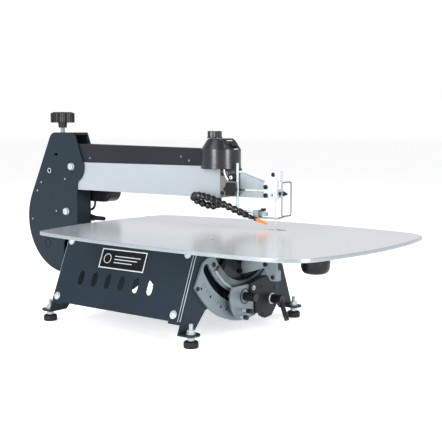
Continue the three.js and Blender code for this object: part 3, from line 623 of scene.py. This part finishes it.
def frame_fasteners():
    """Small screws, two bolts with washers, an eyelet, a hole plug and two dots on each plate."""
    piece = Piece("frame_screws", "zinc")
    small = ((-569, 284), (-651, 274), (-665, 254), (-600, 209), (-684, 186))
    for side in (-1, 1):
        n = (0, side, 0)
        for x, z in small:
            piece.socket_screw(at(x, side * PLATE_Y, z), n, 1.9, 1.2)
        for x, z in ((-545, 313), (-564, 210)):
            piece.lathe(at(x, side * (PLATE_Y + 0.1), z), n,
                        [(0, 0), (8.2, 0), (8.2, 1.2), (7.5, 1.6), (0, 1.6)], 32)
            piece.lathe(at(x, side * (PLATE_Y + 1.7), z), n, [
                (0, 0), (6.2, 0), (6.2, 2.4), (5.4, 3.8), (2.8, 4.4), (2.5, 3.2), (0, 3.2),
            ], 28)
        piece.lathe(at(-622, side * PLATE_Y, 302), n, [
            (4.2, -1.5), (4.4, 0.4), (5.8, 0.5), (6.2, 0.0), (6.0, -0.4),
        ], 28)
        piece.use("dark")
        piece.lathe(at(-631, side * (PLATE_Y - 0.05), 132), n, [
            (8.2, 0.0), (8.4, 0.25), (9.8, 0.25), (10, 0.0),
        ], 36)
        for x, z, r, sides in ((-577, 210, 2.8, 20), (-598, 74, 2.2, 16)):
            piece.lathe(at(x, side * (PLATE_Y - 0.05), z), n,
                        [(0, 0.15), (r, 0.15), (r + 0.2, 0)], sides)
        piece.use("zinc")
    piece.finish("head", "zinc", bevel=0.15)


def head_casting_bolts():
    """Bolts of the lower casting; behind them a zinc strip paints a highlight on the casting's rear
    edge, and a dark plate paints the shade seen through the front opening.
    """
    piece = Piece("head_casting_bolts", "dark")
    for z in (139, 118):
        piece.lathe(at(-79.3, -10.5, z), (1, 0, 0), CAP_SCREW, 24)
        piece.lathe(at(-91, -16, z), (0, -1, 0), CAP_SCREW, 24)
    # painted highlight: a zinc strip along the casting's rear edge
    piece.use("zinc")
    piece.block((-103, -17.2, 108), (-99.5, -16.0, 176))
    # painted shade: a dark plate where the front opening shows only shade
    piece.use("channel")
    shade_plate = ((-17.4, 175), (-46, 146), (-54, 122), (-17.4, 116))
    piece.prism([at(-102.5, y, z) for y, z in shade_plate], (1, 0, 0), 2.5)
    piece.finish("head", "black", bevel=0.25)


def motor_fins():
    """Cooling ribs round the motor can."""
    low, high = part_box("drive_motor")
    x, _ = middle_of("drive_motor")
    y0 = (low.y - BLADE_Y) / MM
    r = (high.x - low.x) / 2 / MM
    z = low.z / MM + r
    piece = Piece("motor_ribs", "black")

    def ribbed(angle, radius, h):
        return radius + (0.9 if math.cos(angle * 36) > 0 and 6 < h < 56 else 0)

    piece.lathe(at(x, y0, z), (0, 1, 0), [
        (r - 1.4, 5.5), (r - 1.1, 6.5), (r - 1.1, 55.5), (r - 1.4, 57),
    ], 144, ribbed)
    piece.finish("head", "black", bevel=0)


def tilt_details():
    """Collar and pointer rings round the tilt shaft, stop rods, and the casting's screws."""
    piece = Piece("tilt_stops", "zinc")
    along = (1, 0, 0)
    for y, z, rod, cap in ((-28, 45, 10, 13), (-34, 33, 7.4, 9)):
        piece.use("zinc")
        piece.lathe(at(-57, y, z), along, [(0, 0), (3.2, 0), (3.2, rod), (0, rod)], 18)
        piece.use("black")
        piece.lathe(at(-57 + rod, y, z), along, [
            (0, 0), (4.3, 0), (4.7, 1), (4.7, cap - 2), (4.1, cap - 0.3), (0, cap),
        ], 20)
    piece.use("black")
    piece.lathe(at(-57.0, SHAFT_Y, SHAFT_Z), along, [
        (13.4, 0), (15.4, 0), (15.4, 0.8), (14.9, 1.2), (13.9, 1.2), (13.4, 0.8), (13.4, 0),
    ], 48)
    piece.use("zinc")
    piece.lathe(at(-52, -0.3, 86), along, [
        (2.4, 0), (4.6, 0), (4.6, 1.6), (2.4, 1.6), (2.4, 0),
    ], 28)
    piece.lathe(at(-52, LEVER_Y, LEVER_Z), along, [
        (0, 0), (11.2, 0), (11.2, 1.6), (10.4, 2.2), (0, 2.2),
    ], 32)
    piece.use("black")
    piece.socket_screw(at(-52, 30, 84), along, 3.4, 1.6)
    piece.socket_screw(at(-52, 74, 76), along, 3.4, 1.6)
    piece.finish("head", "black", bevel=0.2)


def control_box_details():
    """Two lid screws and a row of ribs."""
    piece = Piece("control_box_details", "black")
    piece.socket_screw(at(-484, 28, 246), (0, -1, 0), 4.2, 1.6)
    piece.socket_screw(at(-580, 28, 246), (0, -1, 0), 4.2, 1.6)
    for x in (-566, -554, -542, -530, -518, -506):
        piece.block((x, 57.9, 250), (x + 4, 58.4, 286))
    piece.finish("head", "black", bevel=0.2)


# ---- upper arm ----------------------------------------------------------------------------
def arm_cover_screws():
    piece = Piece("arm_cover_screws", "wire")
    for side in (-1, 1):
        for x, z in ((-490, 333), (-202, 333), (-223, 341)):
            piece.socket_screw(at(x, side * 17.4, z), (0, side, 0), 2.3, 1.2)
    piece.finish("upper_arm", "zinc", bevel=0.1)


SLOPE_TOP, SLOPE_FOOT = (-118, 0, 378), (-94, 0, 354.5)  # the switch panel's middle line
KNOB_X = -149


def housing_details():
    """The switch housing's rim, a block under it, two marks on its slope and the dial dots."""
    low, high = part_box("switch_housing")
    x, _ = middle_of("switch_housing")
    z = low.z / MM
    piece = Piece("switch_housing_trim", "shell")
    piece.lathe(at(x, 0, z), (0, 0, 1), [
        (38.4, -5.2), (39.9, -5.2), (40.4, -4.6), (40.4, 2.6), (39.9, 3.2), (38.4, 3.2),
        (38.4, -5.2),
    ], 96)
    piece.block((-119, -15, 314.3), (-92, 15, 319))
    along = (Vector(SLOPE_FOOT) - Vector(SLOPE_TOP)).normalized()
    out = Vector((-along.z, 0, along.x))
    piece.use("print")
    for reach, wide in ((7.5, 9.0), (31.0, 7.0)):
        centre = at(*SLOPE_TOP) + (along * reach + out * 0.9) * MM
        corners = [centre + (along * a * 0.8 + Vector((0, 1, 0)) * b * wide) * MM
                   for a, b in ((-1, -1), (1, -1), (1, 1), (-1, 1))]
        piece.prism(corners, out, 0.5)
    for i in range(11):
        a = math.radians(-150 + i * 30)
        dot = at(KNOB_X + 17.6 * math.cos(a), 17.6 * math.sin(a), high.z / MM)
        piece.lathe(dot, (0, 0, 1), [(0, 0.1), (0.7, 0.1), (0.7, -0.2)], 8)
    piece.finish("upper_arm", "black", bevel=0)


def knob_cap(name, body, x, y, z, radius, height):
    """A turned disc with a raised rim let into the top of a knob, and a pointer line."""
    piece = Piece(name, "zinc")
    piece.lathe(at(x, y, z), (0, 0, 1), [
        (0, height * 0.5), (radius * 0.72, height * 0.5), (radius * 0.8, height),
        (radius * 0.96, height), (radius, height * 0.4), (radius, -0.3),
    ], 48)
    piece.use("print")
    piece.block((x - 0.7, y - radius * 0.7, z + height * 0.5),
                (x + 0.7, y - radius * 0.1, z + height * 0.5 + 0.12))
    piece.finish(body, "black", bevel=0)


def tension_stud():
    """Bright threaded length between the cap of the frame and the knob."""
    piece = Piece("tension_stud", "zinc")
    turns, top = thread(0.3, 13, 1.2, 4.85, 5.2)
    piece.lathe(at(-597, 0, 388), (0, 0, 1), [(0, 0)] + turns + [(0, top)], 20)
    piece.finish("tension_knob", "black", bevel=0)


def bearing_block_details():
    """Two cap screws, the bearing's boss with its screw, and a bent bright wire."""
    piece = Piece("bearing_block_screws", "black")
    for x, z in ((-115.5, 308.5), (-115.5, 271)):
        piece.socket_screw(at(x, -18, z), (0, -1, 0), 4.0, 2.6)
    piece.lathe(at(-94, -18, 302), (0, -1, 0), [
        (0, -12), (7.2, -12), (7.2, 0.4), (6.6, 1), (4.6, 1), (4.4, 0.2), (0, 0.2),
    ], 28)
    piece.use("bright")
    piece.socket_screw(at(-94, -18.4, 302), (0, -1, 0), 3.9, 1.8)
    piece.tube([at(-109, -20.4, 323), at(-108, -20.6, 310), at(-99.5, -20.6, 296)], 1.7, 12)
    piece.finish("upper_arm", "bearing", bevel=0.2)


def holder_screws(name, body, pins, up):
    """Cap screws on the front pins, and the two that hold the blade clamp."""
    piece = Piece(name, "black")
    for z in pins:
        piece.lathe(at(-16, -12, z), (0, -1, 0), [
            (0, -0.3), (4.4, -0.3), (4.4, 1.6), (3.6, 2.4), (2.2, 2.4), (2.0, 1.2), (0, 1.2),
        ], 22)
        piece.lathe(at(-16, 5, z), (0, 1, 0), [
            (0, -0.3), (4.4, -0.3), (4.4, 1.6), (3.6, 2.4), (0, 2.4),
        ], 22)
    piece.socket_screw(at(0, -10, pins[0] + up * 24), (0, -1, 0), 4.4, 1.8)
    piece.use("zinc")
    piece.socket_screw(at(-1, -10, pins[0] - up * 14.5), (0, -1, 0), 4.6, 1.2)
    piece.finish(body, "zinc", bevel=0.2)


LINK_PINS = (-92, -16)  # x of the pins at both ends of a rocker or link


def link_rings(name, body, pivot_z):
    """Bearing rings pressed into both sides of a link."""
    piece = Piece(name, "zinc")
    for x in LINK_PINS:
        for side in (-1, 1):
            piece.lathe(at(x, side * 4, pivot_z), (0, side, 0), [
                (3.8, -0.2), (3.9, 0.6), (5.2, 0.6), (5.5, 0.1), (5.5, -0.2),
            ], 24)
    piece.finish(body, "zinc", bevel=0)


# ---- hose and nozzle ----------------------------------------------------------------------
HOSE_ROUTE = [
    (-137, -2, 250.2), (-137.2, -2, 247.5), (-144, -2, 243), (-155, -3, 242.5),
    (-168, -6, 245), (-178, -13, 250), (-183, -22, 257), (-179, -30, 262.5),
    (-168, -34, 265), (-154, -35.5, 264.5), (-138, -36, 262), (-124, -35, 258.5),
    (-114, -34, 255), (-104, -31, 250), (-93, -27, 245.5), (-83, -22, 240.5),
    (-72, -18, 235.5), (-59, -16, 230.5), (-48, -15, 227), (-43, -13.5, 225.3),
]


BEAD_PITCH = 12.2
BEAD_RADIUS = (4.0, 7.6)  # least and most
TILT_COSINE = 0.7071  # of the largest tilt, 45 degrees
TILT_GAP = 0.7


def air_hose():
    """Ball-and-socket beads, thinner where the tilted table would reach them."""
    path, length = spline([at(*p) for p in HOSE_ROUTE], 400)
    piece = Piece("air_hose_beads", "hose")
    count = int(length / BEAD_PITCH)
    for i in range(count):
        where = (i + 0.5) / count
        k = min(len(path) - 2, int(where * (len(path) - 1)))
        p = path[k]
        along = (path[k + 1] - path[max(k - 1, 0)]).normalized()
        height = (p.z - at(0, 0, TABLE_Z).z) + (p.y - BLADE_Y)
        room = height / MM * TILT_COSINE - TILT_GAP
        r = max(BEAD_RADIUS[0], min(BEAD_RADIUS[1], room))
        piece.lathe(p, along, [
            (0, -6.6), (r * 0.62, -6.6), (r * 0.66, -5.2), (r * 0.86, -4.2), (r * 0.99, -2.2),
            (r, -0.4), (r * 0.97, 1.2), (r * 0.84, 2.6), (r * 0.8, 3.2), (r * 0.74, 4.6),
            (r * 0.6, 6.2), (0, 6.6),
        ], 22)
    piece.finish("upper_arm", "hose", ["air_hose"], bevel=0)


def air_nozzle():
    start, end = at(-42, -13.1, 224.9), at(-15, -6.8, 214.8)
    axis = (end - start).normalized()
    length = (end - start).length / MM
    piece = Piece("air_nozzle_cone", "hose")
    piece.lathe(start, axis, [
        (0, 0), (3.3, 0), (3.9, 0.8), (4.1, 5.0), (3.9, 7.0), (0, 7.0),
    ], 24)
    piece.use("nozzle")
    piece.lathe(start, axis, [
        (0, 6.4), (4.0, 6.4), (4.15, 7.0), (4.05, 8.4), (3.4, 9.4), (1.6, length - 0.8),
        (1.4, length), (0.9, length), (0.8, length - 2), (0, length - 2),
    ], 24)
    piece.finish("air_nozzle", "nozzle", ["air_nozzle"], bevel=0)


# ---- hold-down ----------------------------------------------------------------------------
def rounded_loop(corners, radius, steps):
    """Corner points of a closed loop, each replaced by an arc."""
    out = []
    count = len(corners)
    for i, c in enumerate(corners):
        before = (corners[i - 1] - c).normalized() * radius * MM
        after = (corners[(i + 1) % count] - c).normalized() * radius * MM
        for s in range(steps + 1):
            t = s / steps
            out.append(c + before * (1 - t) ** 2 + after * t ** 2)
    return out


def blade_guard():
    low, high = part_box("blade_guard")
    r = 1.35
    x = (high.x - BLADE_X) / MM - r
    y0, y1 = (low.y - BLADE_Y) / MM + r, (high.y - BLADE_Y) / MM - r
    z0, z1 = 232.0, high.z / MM - r
    piece = Piece("blade_guard_wire", "wire")
    loop = rounded_loop([at(x, y0, z0), at(x, y1, z0), at(x, y1, z1), at(x, y0, z1)], 5.0, 8)
    piece.tube(loop, r, 14, closed=True)
    piece.tube(spline([at(3, 6, 226.4), at(9, 6, 227.6), at(16, 6, 230.4), at(x, 6, z0)], 14)[0],
               1.5, 12)
    piece.finish("holddown", "zinc", ["blade_guard"], bevel=0)


def holddown_details():
    piece = Piece("holddown_collars", "wire")
    piece.lathe(at(-85, -9, 232.5), (0, 0, 1), [
        (0, 0), (4.4, 0), (4.8, 0.8), (4.8, 9.2), (4.4, 10), (0, 10),
    ], 24)
    piece.use("black")
    piece.lathe(at(-30, 1, 238.6), (0, 0, 1), [(0, 0), (5.2, 0), (5.2, 4.6), (4.6, 5.2), (0, 5.2)],
                36, lambda a, r, h: r - (0.35 if math.cos(a * 18) > 0 and r > 5 else 0))
    piece.finish("holddown", "zinc", bevel=0.1)


# ---- blade --------------------------------------------------------------------------------
def toothed_blade():
    """A thin strip with small raked teeth on its front edge."""
    low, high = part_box("blade")
    z0, z1 = low.z / MM, high.z / MM
    pitch = 2.0
    outline = [(-1.3, z0), (0.9, z0)]
    z = z0 + 12
    outline.append((0.9, z))
    while z < z1 - 14:
        outline += [(1.3, z + 0.35), (0.7, z + 0.8), (0.9, z + pitch)]
        z += pitch
    outline += [(0.9, z1), (-1.3, z1)]
    piece = Piece("blade_strip", "blade")
    piece.prism([at(x, -0.3, z) for x, z in outline], (0, 1, 0), 0.6)
    piece.finish("blade_carriage", "blade", ["blade"], bevel=0)


base_bolts()
badge_border()
panel_folds()
for foot_name, (foot_x, foot_y) in FEET.items():
    levelling_foot(foot_name, foot_x, foot_y)
scale_marks()
trunnion_screws()
blower_details()
table_marks()
frame_fasteners()
head_casting_bolts()
motor_fins()
tilt_details()
control_box_details()
arm_cover_screws()
housing_details()
tension_stud()
knob_cap("speed_knob_disc", "speed_knob", KNOB_X, 0, 392.4, 11, 0.8)
bearing_block_details()
holder_screws("upper_holder_screws", "upper_carriage", (286, 270), 1)
holder_screws("lower_holder_screws", "blade_carriage", (137, 153.5), -1)
link_rings("upper_rocker_rings", "upper_rocker", 286)
link_rings("upper_link_rings", "upper_link", 270)
link_rings("lower_rocker_rings", "lower_rocker", 137)
link_rings("lower_link_rings", "lower_link", 153.5)
air_hose()
air_nozzle()
blade_guard()
holddown_details()
toothed_blade()


# ---- studio -------------------------------------------------------------------------------
FLOOR_GLOW = 0.5  # keeps the far floor as pale as the background
LENS = 70.4
CAMERA_SPOT = (927.3, -1363.0, 388.2)
CAMERA_DOWN, CAMERA_TURN = 5.8, 37.88  # degrees


def floor():
    data = bpy.data.meshes.new("studio_floor")
    plane = bmesh.new()
    bmesh.ops.create_grid(plane, x_segments=1, y_segments=1, size=40)
    plane.to_mesh(data)
    plane.free()
    obj = bpy.data.objects.new("studio_floor", data)
    obj.location = (0, 0, -0.0002)
    bpy.context.scene.collection.objects.link(obj)
    pale = make("pale_floor", (0.9, 0.905, 0.91, 1), 0.6, vary=0.005, blotch=0.6, grain=40,
                bump=0.0, specular=0.2)
    shader = pale.node_tree.nodes["Principled BSDF"]
    shader.inputs["Emission Color"].default_value = (1, 1, 1, 1)
    shader.inputs["Emission Strength"].default_value = FLOOR_GLOW
    data.materials.append(pale)


def area(name, where, target, size, power):
    light = bpy.data.lights.new(name, "AREA")
    light.shape = "RECTANGLE"
    light.size, light.size_y = size
    light.energy = power
    obj = bpy.data.objects.new(name, light)
    obj.location = where
    obj.rotation_euler = (Vector(target) - Vector(where)).to_track_quat("-Z", "Y").to_euler()
    bpy.context.scene.collection.objects.link(obj)


def studio():
    """A white room: bright low down, dimmer overhead, and pure white behind the object."""
    world = bpy.data.worlds.new("studio")
    world.use_nodes = True
    tree = world.node_tree
    coords = tree.nodes.new("ShaderNodeTexCoord")
    split = tree.nodes.new("ShaderNodeSeparateXYZ")
    fade = tree.nodes.new("ShaderNodeMapRange")
    for key, value in (("From Min", 0.0), ("From Max", 0.7), ("To Min", 0.84), ("To Max", 0.42)):
        fade.inputs[key].default_value = value
    rays = tree.nodes.new("ShaderNodeLightPath")
    brighter = tree.nodes.new("ShaderNodeMath")
    brighter.operation = "MAXIMUM"
    tree.links.new(coords.outputs["Generated"], split.inputs["Vector"])
    tree.links.new(split.outputs["Z"], fade.inputs["Value"])
    tree.links.new(fade.outputs["Result"], brighter.inputs[0])
    tree.links.new(rays.outputs["Is Camera Ray"], brighter.inputs[1])
    tree.links.new(brighter.outputs["Value"], tree.nodes["Background"].inputs["Strength"])
    tree.nodes["Background"].inputs["Color"].default_value = (1.0, 1.0, 1.0, 1)
    bpy.context.scene.world = world
    floor()
    area("key", (-0.6, -1.6, 2.4), (0, 0, 0.2), (1.8, 1.2), 20)
    area("top", (0.0, 0.6, 2.6), (0, 0, 0.2), (2.4, 1.4), 30)
    area("left_box", (0.0, -2.2, 0.8), (0, 0, 0.3), (0.75, 1.3), 46)
    area("right_box", (2.34, -0.48, 0.75), (0, 0, 0.3), (0.6, 1.3), 42)


def camera():
    data = bpy.data.cameras.new("camera")
    data.sensor_width = 36
    data.lens = LENS
    obj = bpy.data.objects.new("camera", data)
    obj.location = at(*CAMERA_SPOT)
    obj.rotation_euler = (math.radians(90 - CAMERA_DOWN), 0, math.radians(CAMERA_TURN))
    bpy.context.scene.collection.objects.link(obj)
    bpy.context.scene.camera = obj


studio()
camera()
bpy.context.scene.view_settings.view_transform = "Standard"
